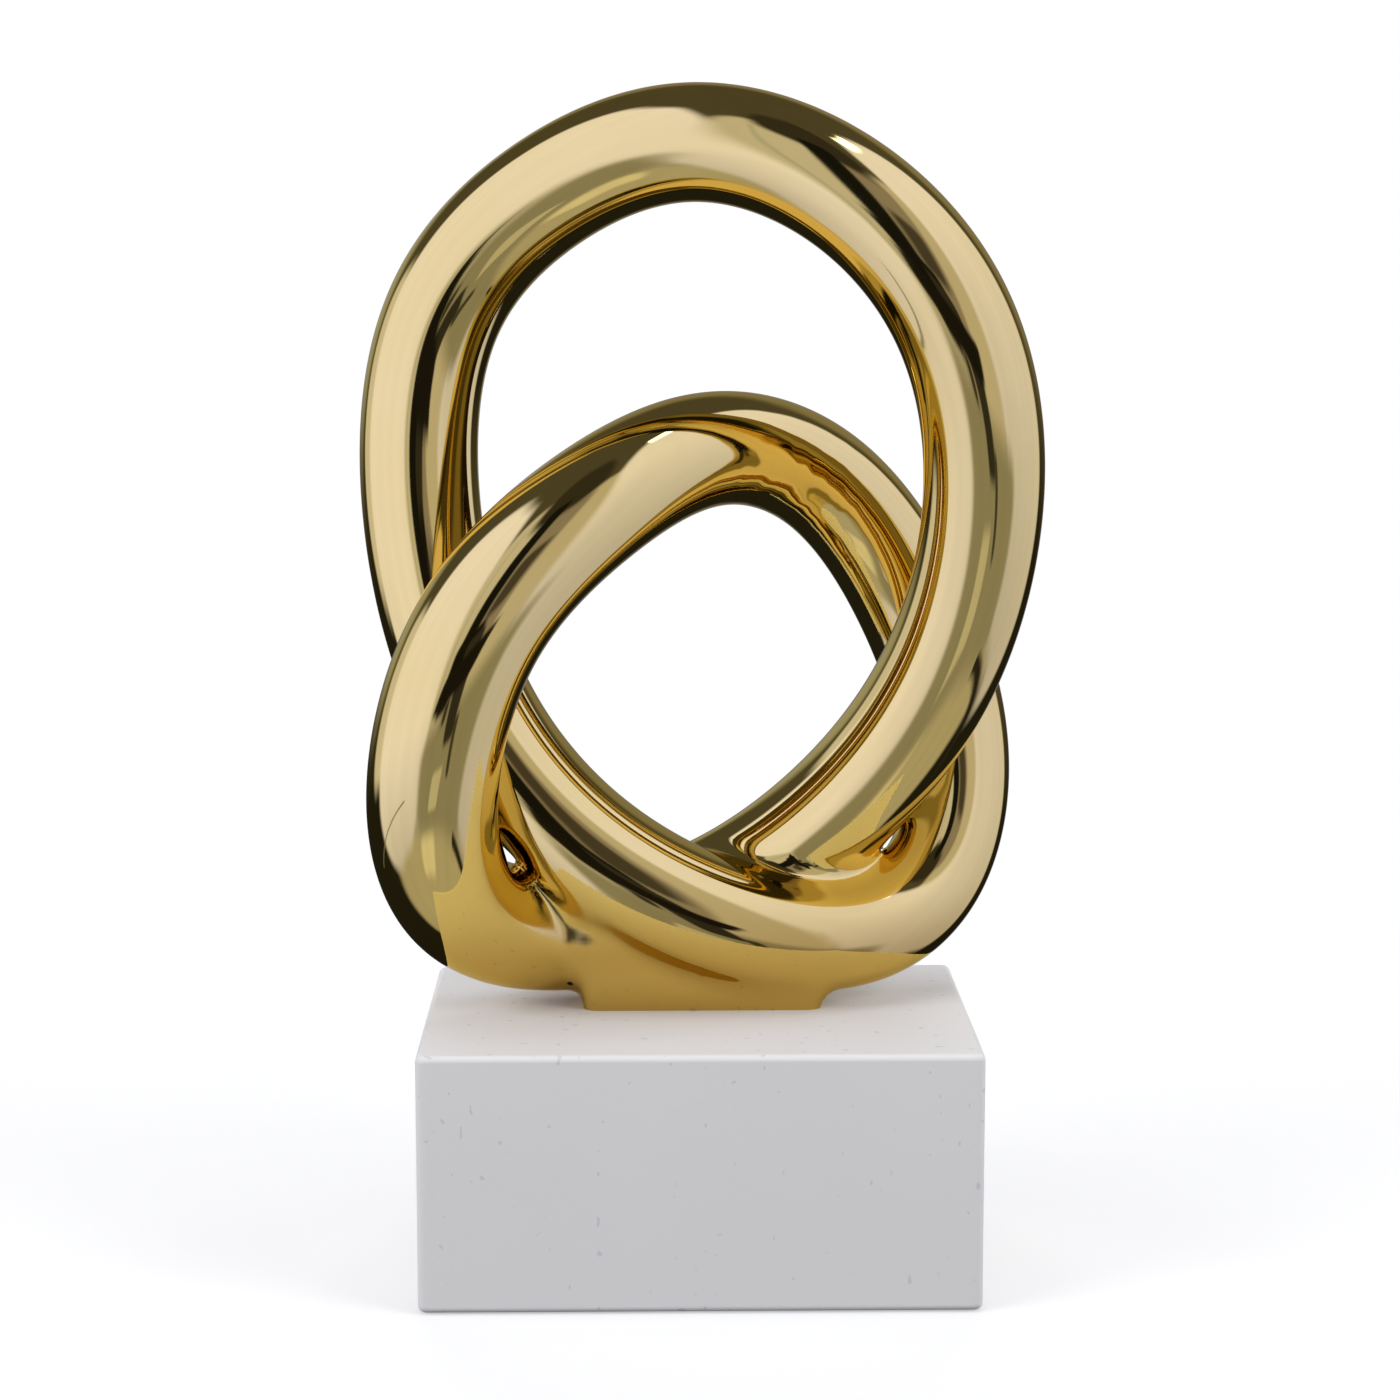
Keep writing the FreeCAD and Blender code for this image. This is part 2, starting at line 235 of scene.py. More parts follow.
def makeLacquer():
    # sprayed matte white: soft orange peel, patchy gloss, a slow drift of tone and rare flecks
    material, tree, shader, place = newMaterial("matteLacquer")
    drift = noise(tree, place, lacquer["driftSize"], lacquer["detail"])
    drift = remap(tree, drift, lacquer["driftLow"], lacquer["driftHigh"], 0, 1)
    colour = blendColours(tree, drift, lacquer["tone"], lacquer["driftTone"])
    rare = lacquer["fleckRare"]
    flecks = noise(tree, place, lacquer["fleckSize"], 0.0)
    flecks = remap(tree, flecks, rare, rare + lacquer["fleckSoft"], 0, 1)
    colour = blendColours(tree, flecks, colour, lacquer["fleckTone"])
    tree.links.new(colour, shader.inputs["Base Color"])
    patches = noise(tree, place, lacquer["patchSize"], lacquer["detail"])
    rough = remap(tree, patches, lacquer["patchLow"], lacquer["patchHigh"],
                  lacquer["roughLow"], lacquer["roughHigh"])
    tree.links.new(rough, shader.inputs["Roughness"])
    shader.inputs["Specular IOR Level"].default_value = lacquer["gleam"]
    peel = noise(tree, place, lacquer["spraySize"], lacquer["detail"])
    peel = bump(tree, peel, lacquer["sprayDepth"])
    tree.links.new(peel, shader.inputs["Normal"])
    return material


# The unseen finishes. A pattern is its size, its detail and its twist.
steel = {  # zinc plated, dull and finely turned
    "name": "zincSteel",
    "tones": ((0.60, 0.61, 0.62), (0.50, 0.51, 0.53)),
    "tonePattern": (0.004, 4.0, 0.0),
    "rough": (0.26, 0.42),
    "roughPattern": (0.002, 5.0, 0.0),
    "markPattern": (0.0005, 2.0, 0.0),
    "markDepth": 0.000004,
    "metallic": 1.0,
    "sheen": 0.0,
}
rawBrass = {  # the unpolished liners behind the welds
    "name": "rawBrass",
    "tones": ((0.56, 0.40, 0.17), (0.42, 0.27, 0.10)),
    "tonePattern": (0.006, 5.0, 0.0),
    "rough": (0.35, 0.55),
    "roughPattern": (0.003, 4.0, 0.0),
    "markPattern": (0.0006, 3.0, 0.0),
    "markDepth": 0.00001,
    "metallic": 1.0,
    "sheen": 0.0,
}
bore = {  # painted shade: the drain hole's wall and end, near black like the shade inside it
    "name": "boreShadePaint",
    "tones": ((0.05, 0.022, 0.008), (0.02, 0.010, 0.005)),
    "tonePattern": (0.0006, 3.0, 0.0),
    "rough": 0.6,
    "metallic": 0.0,
    "sheen": 0.0,
}
felt = {  # dark wool, with short matted fibres
    "name": "woolFelt",
    "tones": ((0.035, 0.035, 0.038), (0.10, 0.10, 0.105)),
    "tonePattern": (0.0008, 8.0, 1.2),
    "rough": 0.95,
    "markPattern": (0.0004, 6.0, 2.0),
    "markDepth": 0.0001,
    "metallic": 0.0,
    "sheen": 0.4,
}
patternLow, patternHigh = 0.3, 0.7  # the noise between these is spread over the whole span


def makePlain(finish):
    # two tones that drift into each other, an even or uneven gloss, and fine marks
    material, tree, shader, place = newMaterial(finish["name"])
    drift = noise(tree, place, *finish["tonePattern"])
    drift = remap(tree, drift, patternLow, patternHigh, 0, 1)
    colour = blendColours(tree, drift, *finish["tones"])
    tree.links.new(colour, shader.inputs["Base Color"])
    rough = finish["rough"]
    if "roughPattern" in finish:
        patches = noise(tree, place, *finish["roughPattern"])
        rough = remap(tree, patches, patternLow, patternHigh, *rough)
    feed(tree, shader.inputs["Roughness"], rough)
    if "markPattern" in finish:
        marks = bump(tree, noise(tree, place, *finish["markPattern"]), finish["markDepth"])
        tree.links.new(marks, shader.inputs["Normal"])
    shader.inputs["Metallic"].default_value = finish["metallic"]
    shader.inputs["Sheen Weight"].default_value = finish["sheen"]
    return material


goldMaterial = makeGold()
lacquerMaterial = makeLacquer()
steelMaterial, rawBrassMaterial, boreShadeMaterial, feltMaterial = [
    makePlain(finish) for finish in (steel, rawBrass, bore, felt)]
print("materials made")


# the knot's centre line

knot = {
    "wide": 0.216,  # these four are what the guides' shares are taken of
    "deep": 0.120,
    "tall": 0.296,
    "tube": 0.038,
    "valleyBlendLeft": 0.003,  # how widely the two lower strands melt together
    "valleyBlendRight": 0.0085,
    "valleyStart": -0.048,  # between these two it goes from the left blend to the right one
    "valleyEnd": -0.022,
    "valleySwell": 0.009,  # extra blend where the crease between the strands runs out
    "swellPlace": -0.036,
    "swellReach": 0.020,
    "valleyTop": 0.145,  # the strands melt together below this, and not at all past the fade
    "valleyFade": 0.022,
}

# The net of quads that is laid over the skin and dropped onto it.
net = {
    "step": 0.0015,
    "quickStep": 0.0024,
    "stationsPerGuide": 50,
    "band": 0.008,  # how far out from the tube distances are worked out
    "firstDrops": 4,
    "smoothings": 3,
    "dropsBetween": 2,
    "lastDrops": 3,
    "longestDrop": 0.002,
    "leastSlope": 0.25,  # of the squared slope that a drop is divided by
    "pointsAtOnce": 4000,
    "leastCurve": 1e-5,
    "longestStep": 0.05,  # along the strand, in guides
    "offSkin": 0.00008,  # past which a vertex isn't polished
    "underside": -0.999,
}
tiny = 1e-9

# Guide points of the tube's centre line, which is a closed cubic curve that leans on them.
# Each row holds shares of the knot's width to the right, of its depth to the rear, of its
# height above the block, and of the tube's diameter. They start at the top and go left.
guideShares = np.array([
    (-0.015, -0.085, 0.955, 0.96),
    (-0.230, 0.020, 0.890, 0.97),
    (-0.400, 0.095, 0.765, 0.98),
    (-0.425, 0.100, 0.555, 1.00),
    (-0.355, 0.045, 0.330, 1.01),
    (-0.175, -0.025, 0.170, 1.03),
    (0.065, -0.030, 0.085, 0.99),
    (0.265, 0.080, 0.065, 0.92),
    (0.390, 0.235, 0.135, 0.89),
    (0.415, 0.345, 0.280, 0.96),
    (0.330, 0.345, 0.450, 0.99),
    (0.200, 0.225, 0.585, 0.94),
    (0.025, 0.010, 0.630, 0.94),
    (-0.145, -0.215, 0.570, 1.03),
    (-0.330, -0.335, 0.450, 1.08),
    (-0.400, -0.300, 0.260, 1.09),
    (-0.370, -0.105, 0.115, 1.05),
    (-0.225, 0.125, 0.065, 1.01),
    (-0.005, 0.235, 0.085, 1.00),
    (0.210, 0.155, 0.195, 1.01),
    (0.375, -0.015, 0.365, 1.00),
    (0.430, -0.165, 0.575, 0.99),
    (0.380, -0.225, 0.765, 1.01),
    (0.210, -0.185, 0.900, 0.97),
])
guideSizes = guideShares * (knot["wide"], knot["deep"], knot["tall"], knot["tube"] / 2)
guideSizes[:, 2] += blockTop

# The strand that passes in front at the bottom, and the rest of the knot, by guide position.
strands = ((2.0, 11.0), (11.0, 26.0))


def tubeAt(along):
    # Uniform cubic curve through blended guide points: each place, with its first and second
    # slope, is the sum of four guides weighted by cubic shares of the fraction between them.
    first = np.floor(along).astype(int)
    f = along - first
    r = 1 - f
    weights = np.stack([
        [r ** 3 / 6, -r ** 2 / 2, r],
        [(3 * f ** 3 - 6 * f ** 2 + 4) / 6, (3 * f ** 2 - 4 * f) / 2, 3 * f - 2],
        [(3 * r ** 3 - 6 * r ** 2 + 4) / 6, (4 * r - 3 * r ** 2) / 2, 3 * r - 2],
        [f ** 3 / 6, f ** 2 / 2, f],
    ])
    near = guideSizes[(first + np.arange(-1, 3)[:, None]) % len(guideSizes)]
    return np.einsum("kdn,knc->dnc", weights, near)


def strandStations(strand):
    count = round((strand[1] - strand[0]) * net["stationsPerGuide"]) + 1
    along = np.linspace(strand[0], strand[1], count)
    return along, tubeAt(along)[0]


def nearestAlong(points, strand):
    # the station whose ball is nearest to each point: the least distance less radius
    along, stations = strandStations(strand)
    best = np.empty(len(points))
    atOnce = net["pointsAtOnce"]
    for start in range(0, len(points), atOnce):
        part = points[start:start + atOnce]
        square = (part ** 2).sum(1)[:, None] + (stations[:, :3] ** 2).sum(1)
        square -= 2 * part @ stations[:, :3].T
        gap = np.sqrt(np.maximum(square, 0)) - stations[:, 3]
        best[start:start + atOnce] = along[gap.argmin(1)]
    return best


def refineAlong(points, along, strand):
    # One Newton step towards the least distance less radius: the first slope of that sum
    # along the strand over its second slope.
    place, slope, bend = tubeAt(along)
    reach = points - place[:, :3]
    far = np.linalg.norm(reach, axis=1)
    toward = (reach * slope[:, :3]).sum(1)
    first = -toward / far - slope[:, 3]
    second = ((slope[:, :3] ** 2).sum(1) - (reach * bend[:, :3]).sum(1)) / far
    second -= toward ** 2 / far ** 3 + bend[:, 3]
    least, longest = net["leastCurve"], net["longestStep"]
    step = np.where(second > least, -first / np.maximum(second, least), 0)
    return np.clip(along + np.clip(step, -longest, longest), strand[0], strand[1])


def guessBoth(points):
    return [nearestAlong(points, strand) for strand in strands]


def refineBoth(points, guesses):
    return [refineAlong(points, along, strand) for along, strand in zip(guesses, strands)]


def tubeField(points, along):
    # distance to the tube's skin, and the direction straight out of it
    place = tubeAt(along)[0]
    reach = points - place[:, :3]
    far = np.linalg.norm(reach, axis=1)
    return far - place[:, 3], reach / far[:, None]


def smoothStep(value):
    value = np.clip(value, 0, 1)
    return value * value * (3 - 2 * value)


def joinFields(first, firstOut, second, secondOut, blend, blendOut=None):
    # The lesser of two distances, rounded where they differ by less than the blend: the round
    # takes off a quarter of the blend times the square of how far the two have closed up.
    near = np.maximum(1 - np.abs(first - second) / np.maximum(blend, tiny), 0)
    joined = np.minimum(first, second) - blend / 4 * near ** 2
    share = np.where(first < second, near / 2, 1 - near / 2)[:, None]
    out = firstOut * (1 - share) + secondOut * share
    if blendOut is not None:
        out = out - (near ** 2 / 4 + near * (1 - near) / 2)[:, None] * blendOut
    return joined, out


foot = {
    "wide": 0.077,
    "deep": 0.028,
    "tall": 0.0195,
    "riseFront": 0.25,  # how steeply the top rises to the front
    "flare": 0.16,
    "corner": 0.005,
    "right": 0.0015,  # its middle, from the middle of the block
    "rear": 0.010,
    "below": 0.006,  # how far under the block's top it reaches before it is trimmed
    "blend": 0.006,
}


def footField(points):
    # Distance to a post with rounded corners, whose half widths grow by the flare for each
    # unit of height, and whose top slopes down to the rear, lost inside the tubes.
    middle = np.array([foot["right"], foot["rear"]])
    half = np.array([foot["wide"], foot["deep"]]) / 2 - foot["corner"]
    offset = points[:, :2] - middle
    past = np.abs(offset) - half - foot["flare"] * (points[:, 2:] - blockTop)
    outside = np.maximum(past, 0)
    far = np.linalg.norm(outside, axis=1)
    side = far + np.minimum(past.max(1), 0) - foot["corner"]
    out = np.zeros_like(points)
    beyond = far > tiny
    out[beyond, :2] = (outside * np.sign(offset))[beyond] / far[beyond, None]
    nearAxis = past.argmax(1)
    rows = np.nonzero(~beyond)[0]
    out[rows, nearAxis[rows]] = np.sign(offset)[rows, nearAxis[rows]]
    out[:, 2] = -foot["flare"]
    above = points[:, 2] - (blockTop + foot["tall"]) + foot["riseFront"] * offset[:, 1]
    up = np.ones_like(points) * (0, foot["riseFront"], 1)
    # the post is where both the side and the top distance are negative
    joined, joinedOut = joinFields(-side, out, -above, up, foot["corner"])
    return -joined, joinedOut


def valleyBlend(points):
    # How widely the two strands melt together, and how that changes from place to place: the
    # left blend eased into the right one, plus the swell times the square of one less the
    # squared offset, all eased to nothing at the valley's top.
    across = knot["valleyEnd"] - knot["valleyStart"]
    over = np.clip((points[:, 0] - knot["valleyStart"]) / across, 0, 1)
    slack = (knot["valleyTop"] + knot["valleyFade"] - points[:, 2]) / knot["valleyFade"]
    slack = np.clip(slack, 0, 1)
    extra = knot["valleyBlendRight"] - knot["valleyBlendLeft"]
    side = knot["valleyBlendLeft"] + extra * smoothStep(over)
    offset = (points[:, 0] - knot["swellPlace"]) / knot["swellReach"]
    swell = np.maximum(1 - offset ** 2, 0)
    side = side + knot["valleySwell"] * swell ** 2
    slope = np.zeros_like(points)
    lean = extra * 6 * over * (1 - over) / across
    lean = lean - 4 * knot["valleySwell"] / knot["swellReach"] * offset * swell
    slope[:, 0] = lean * smoothStep(slack)
    slope[:, 2] = -side * 6 * slack * (1 - slack) / knot["valleyFade"]
    return side * smoothStep(slack), slope


pinch = {"place": (-0.0606, -0.008, 0.1335), "reach": 0.013, "deep": 0.0017}


def pinchAway(points):
    # A dimple in both strands, where light shows between them low on the left: its depth
    # times the square of one less the squared distance, in reaches, from its middle.
    reach = (points - np.array(pinch["place"])) / pinch["reach"]
    left = np.maximum(1 - (reach ** 2).sum(1), 0)
    slope = -4 * (pinch["deep"] / pinch["reach"] * left)[:, None] * reach
    return pinch["deep"] * left ** 2, slope


def skinField(points, guesses):
    # distance to the whole polished skin and its outward direction
    blend, blendOut = valleyBlend(points)
    away, awayOut = pinchAway(points)
    first, firstOut = tubeField(points, guesses[0])
    second, secondOut = tubeField(points, guesses[1])
    first, firstOut = first + away, firstOut + awayOut
    second, secondOut = second + away, secondOut + awayOut
    tube, tubeOut = joinFields(first, firstOut, second, secondOut, blend, blendOut)
    post, postOut = footField(points)
    field, out = joinFields(tube, tubeOut, post, postOut, np.full(len(points), foot["blend"]))
    return field, out


def netField(step):
    # distances on a regular lattice round the knot, taken from the balls along each strand
    reach = knot["tube"]
    low = guideSizes[:, :3].min(0) - reach
    high = guideSizes[:, :3].max(0) + reach
    low[2] = blockTop - foot["below"]
    counts = np.ceil((high - low) / step).astype(int) + 1
    axes = [low[k] + step * np.arange(counts[k]) for k in range(3)]
    fields = []
    for strand in strands:
        field = np.full(counts, reach)
        for x, y, z, radius in strandStations(strand)[1]:
            spans = []
            for k, middle in enumerate((x, y, z)):
                start = max(int((middle - radius - net["band"] - low[k]) / step), 0)
                end = min(int((middle + radius + net["band"] - low[k]) / step) + 2, counts[k])
                spans.append(slice(start, max(end, start)))
            ball = (axes[0][spans[0], None, None] - x) ** 2
            ball = ball + (axes[1][spans[1]][None, :, None] - y) ** 2
            ball = ball + (axes[2][spans[2]][None, None, :] - z) ** 2
            block = field[spans[0], spans[1], spans[2]]
            np.minimum(block, np.sqrt(ball) - radius, out=block)
        fields.append(field.ravel())
    lattice = np.stack(np.meshgrid(*axes, indexing="ij"), -1).reshape(-1, 3)
    blank = np.zeros((len(lattice), 1))
    away = pinchAway(lattice)[0]
    blend = valleyBlend(lattice)[0]
    tube = joinFields(fields[0] + away, blank, fields[1] + away, blank, blend)[0]
    whole = joinFields(tube, blank, footField(lattice)[0], blank, foot["blend"])[0]
    whole = whole.reshape(counts)
    whole[:, :, 0] = np.maximum(whole[:, :, 0], step / 2)
    return whole, low


def netSurface(field, low, step):
    # One vertex in each lattice cell that the skin crosses, at the mean of the crossings on
    # its edges, and one quad round each lattice edge that the skin crosses.
    cells = np.array(field.shape) - 1
    total = np.zeros((*cells, 3))
    count = np.zeros(cells)
    quadRows = []
    inside = field < 0
    for axis in range(3):
        near = [slice(None)] * 3
        far = [slice(None)] * 3
        near[axis] = slice(None, -1)
        far[axis] = slice(1, None)
        start = field[tuple(near)]
        end = field[tuple(far)]
        crossed = np.argwhere(inside[tuple(near)] != inside[tuple(far)])
        others = [k for k in range(3) if k != axis]
        kept = ((crossed[:, others] > 0) & (crossed[:, others] < cells[others])).all(1)
        crossed = crossed[kept]
        a = start[tuple(crossed.T)]
        b = end[tuple(crossed.T)]
        place = crossed.astype(float)
        place[:, axis] += a / (a - b)
        corners = []
        for back, side in ((1, 1), (0, 1), (0, 0), (1, 0)):
            cell = crossed.copy()
            cell[:, others[0]] -= back
            cell[:, others[1]] -= side
            np.add.at(total, tuple(cell.T), place)
            np.add.at(count, tuple(cell.T), 1)
            corners.append(np.ravel_multi_index(tuple(cell.T), cells))
        quads = np.stack(corners, 1)
        turned = (a > 0) != (axis == 1)
        quads[turned] = quads[turned][:, ::-1]
        quadRows.append(quads)
    used = count.ravel() > 0
    index = np.cumsum(used) - 1
    vertices = total.reshape(-1, 3)[used] / count.ravel()[used, None] * step + low
    return vertices, index[np.concatenate(quadRows)]


def relax(vertices, quads):
    # moves each vertex halfway to the mean of its neighbours
    ends = np.concatenate([quads[:, [k, (k + 1) % 4]] for k in range(4)])
    count = np.bincount(ends[:, 0], minlength=len(vertices))
    count = count + np.bincount(ends[:, 1], minlength=len(vertices))
    mean = np.empty_like(vertices)
    for k in range(3):
        mean[:, k] = np.bincount(ends[:, 0], vertices[ends[:, 1], k], len(vertices))
        mean[:, k] += np.bincount(ends[:, 1], vertices[ends[:, 0], k], len(vertices))
    return (vertices + mean / count[:, None]) / 2


def settle(vertices, guesses, rounds):
    # drops each vertex straight onto the skin, by its distance over the distance's slope
    for unused in range(rounds):
        guesses = refineBoth(vertices, guesses)
        field, out = skinField(vertices, guesses)
        steep = np.maximum((out ** 2).sum(1), net["leastSlope"])[:, None]
        drop = np.clip(field, -net["longestDrop"], net["longestDrop"])
        vertices = vertices - drop[:, None] * out / steep
    return vertices, guesses


def meshObject(name, vertices, faces, material):
    mesh = bpy.data.meshes.new(name)
    mesh.from_pydata(vertices, [], faces)
    mesh.materials.append(material)
    piece = bpy.data.objects.new(name, mesh)
    scene.collection.objects.link(piece)
    return piece


vent = {
    "diameter": 0.0025,
    "deep": 0.004,
    "sides": 36,
    "cleared": 0.0026,
    "rimReach": 3,  # times the cleared radius
    "along": 17.0,  # the guide that it is under
    "facing": (0.24, -0.64, -0.73),
}


def boreVent(work):
    # Opens the drain hole square to the skin, low on the left of the foot: the net is cleared
    # round it, bridged to a ring of points on the skin, and sunk from there to an end, with its
    # wall and end in near-black painted shade.
    place, slope = tubeAt(np.array([vent["along"]]))[:2]
    heading = slope[0, :3] / np.linalg.norm(slope[0, :3])
    out = np.array(vent["facing"])
    out = out - heading * out.dot(heading)
    out /= np.linalg.norm(out)
    side = np.cross(heading, out)
    turn = np.linspace(0, 2 * math.pi, vent["sides"], endpoint=False)
    spokes = np.cos(turn)[:, None] * heading + np.sin(turn)[:, None] * side
    ring = place[0, :3] + out * place[0, 3] + spokes * vent["diameter"] / 2
    ring = settle(ring, guessBoth(ring), net["firstDrops"])[0]
    centre = Vector(ring.mean(0))
    cleared = vent["cleared"]
    near = {vertex for vertex in work.verts if (vertex.co - centre).length < cleared}
    gone = [face for face in work.faces if near.intersection(face.verts)]
    bmesh.ops.delete(work, geom=gone, context="FACES")
    rim = [edge for edge in work.edges
           if edge.is_boundary
           and (edge.verts[0].co - centre).length < vent["rimReach"] * cleared]
    count = vent["sides"]
    top = [work.verts.new(point) for point in ring]
    low = [work.verts.new(point) for point in ring - out * vent["deep"]]
    circle = [work.edges.new((top[i - 1], top[i])) for i in range(count)]
    bridge = bmesh.ops.bridge_loops(work, edges=rim + circle)["faces"]
    for face in bridge:
        face.normal_update()
        if face.normal.dot(Vector(out)) < 0:
            face.normal_flip()
    # painted shade: the hole's wall and end take the near-black second slot
    paintedShadeFaces = [work.faces.new((top[i - 1], low[i - 1], low[i], top[i])) for i in range(count)]
    paintedShadeFaces.append(work.faces.new(low[::-1]))
    for face in paintedShadeFaces:
        face.material_index = 1
    print("drain hole bored: %d faces replaced by %d" % (len(gone), len(bridge)))


def trimFoot(work):
    # cuts the foot flat where it stands on the block
    everything = work.verts[:] + work.edges[:] + work.faces[:]
    cut = bmesh.ops.bisect_plane(work, geom=everything, plane_co=(0, 0, blockTop),
                                 plane_no=(0, 0, -1), clear_outer=True)
    rim = [item for item in cut["geom_cut"] if isinstance(item, bmesh.types.BMEdge)]
    bmesh.ops.holes_fill(work, edges=rim, sides=0)


def fetch(items, name, kind):
    # one value of every item, in one row
    width = 3 if kind is float else 1
    values = np.empty(len(items) * width, kind)
    items.foreach_get(name, values)
    return values


def polishNormals(piece):
    # The skin's own outward direction as the normal of each vertex, so that reflections run
    # smoothly across the mesh. Faces off the skin, such as the foot's underside, stay flat.
    mesh = piece.data
    vertices = fetch(mesh.vertices, "co", float).reshape(-1, 3)
    guesses = guessBoth(vertices)
    for unused in range(net["lastDrops"]):
        guesses = refineBoth(vertices, guesses)
    field, out = skinField(vertices, guesses)
    out /= np.linalg.norm(out, axis=1)[:, None]
    loops = fetch(mesh.loops, "vertex_index", int)
    totals = fetch(mesh.polygons, "loop_total", int)
    flat = fetch(mesh.polygons, "normal", float).reshape(-1, 3)
    owner = np.repeat(np.arange(len(totals)), totals)
    off = (np.abs(field) > net["offSkin"])[loops]
    plain = np.bincount(owner, off, len(totals)) > 0
    plain |= flat[:, 2] < net["underside"]
    mesh.polygons.foreach_set("use_smooth", np.ones(len(totals), bool))
    normals = np.where(plain[owner][:, None], flat[owner], out[loops])
    mesh.normals_split_custom_set(normals.tolist())


def buildSkin():
    # one welded, polished skin in place of the eight lengths of tube and the foot
    step = net["step"]
    field, low = netField(step)
    vertices, quads = netSurface(field, low, step)
    vertices, guesses = settle(vertices, guessBoth(vertices), net["firstDrops"])
    for unused in range(net["smoothings"]):
        vertices, guesses = settle(relax(vertices, quads), guesses, net["dropsBetween"])
    vertices, guesses = settle(vertices, guesses, net["lastDrops"])
    skin = meshObject("knot_skin", vertices, quads.tolist(), goldMaterial)
    skin.data.materials.append(boreShadeMaterial)
    work = bmesh.new()
    work.from_mesh(skin.data)
    trimFoot(work)
    boreVent(work)
    work.to_mesh(skin.data)
    work.free()
    polishNormals(skin)
    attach(skin, "root")
    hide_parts("crown_arch", "left_flank", "front_sweep", "right_bow", "rear_arch",
                "left_bow", "back_sweep", "right_flank", "foot_block")
    print("skin: %d vertices, %d faces" % (len(skin.data.vertices), len(skin.data.polygons)))
    return skin


buildSkin()


# finishes of the pieces that keep their solid's own shape

def paint(nodeName, material):
    piece = nodes[nodeName]
    piece.data.materials.clear()
    piece.data.materials.append(material)


paint("plinth_block", lacquerMaterial)
for nodeName in nodes:
    if nodeName.startswith("sleeve_"):
        paint(nodeName, rawBrassMaterial)
    elif nodeName.startswith("felt_pad_"):
        paint(nodeName, feltMaterial)
    elif nodeName.startswith(("stud_", "nut_", "washer_", "lock_washer_")):
        paint(nodeName, steelMaterial)
print("solids painted")


# the studio: what the mirror sees, by compass direction and height

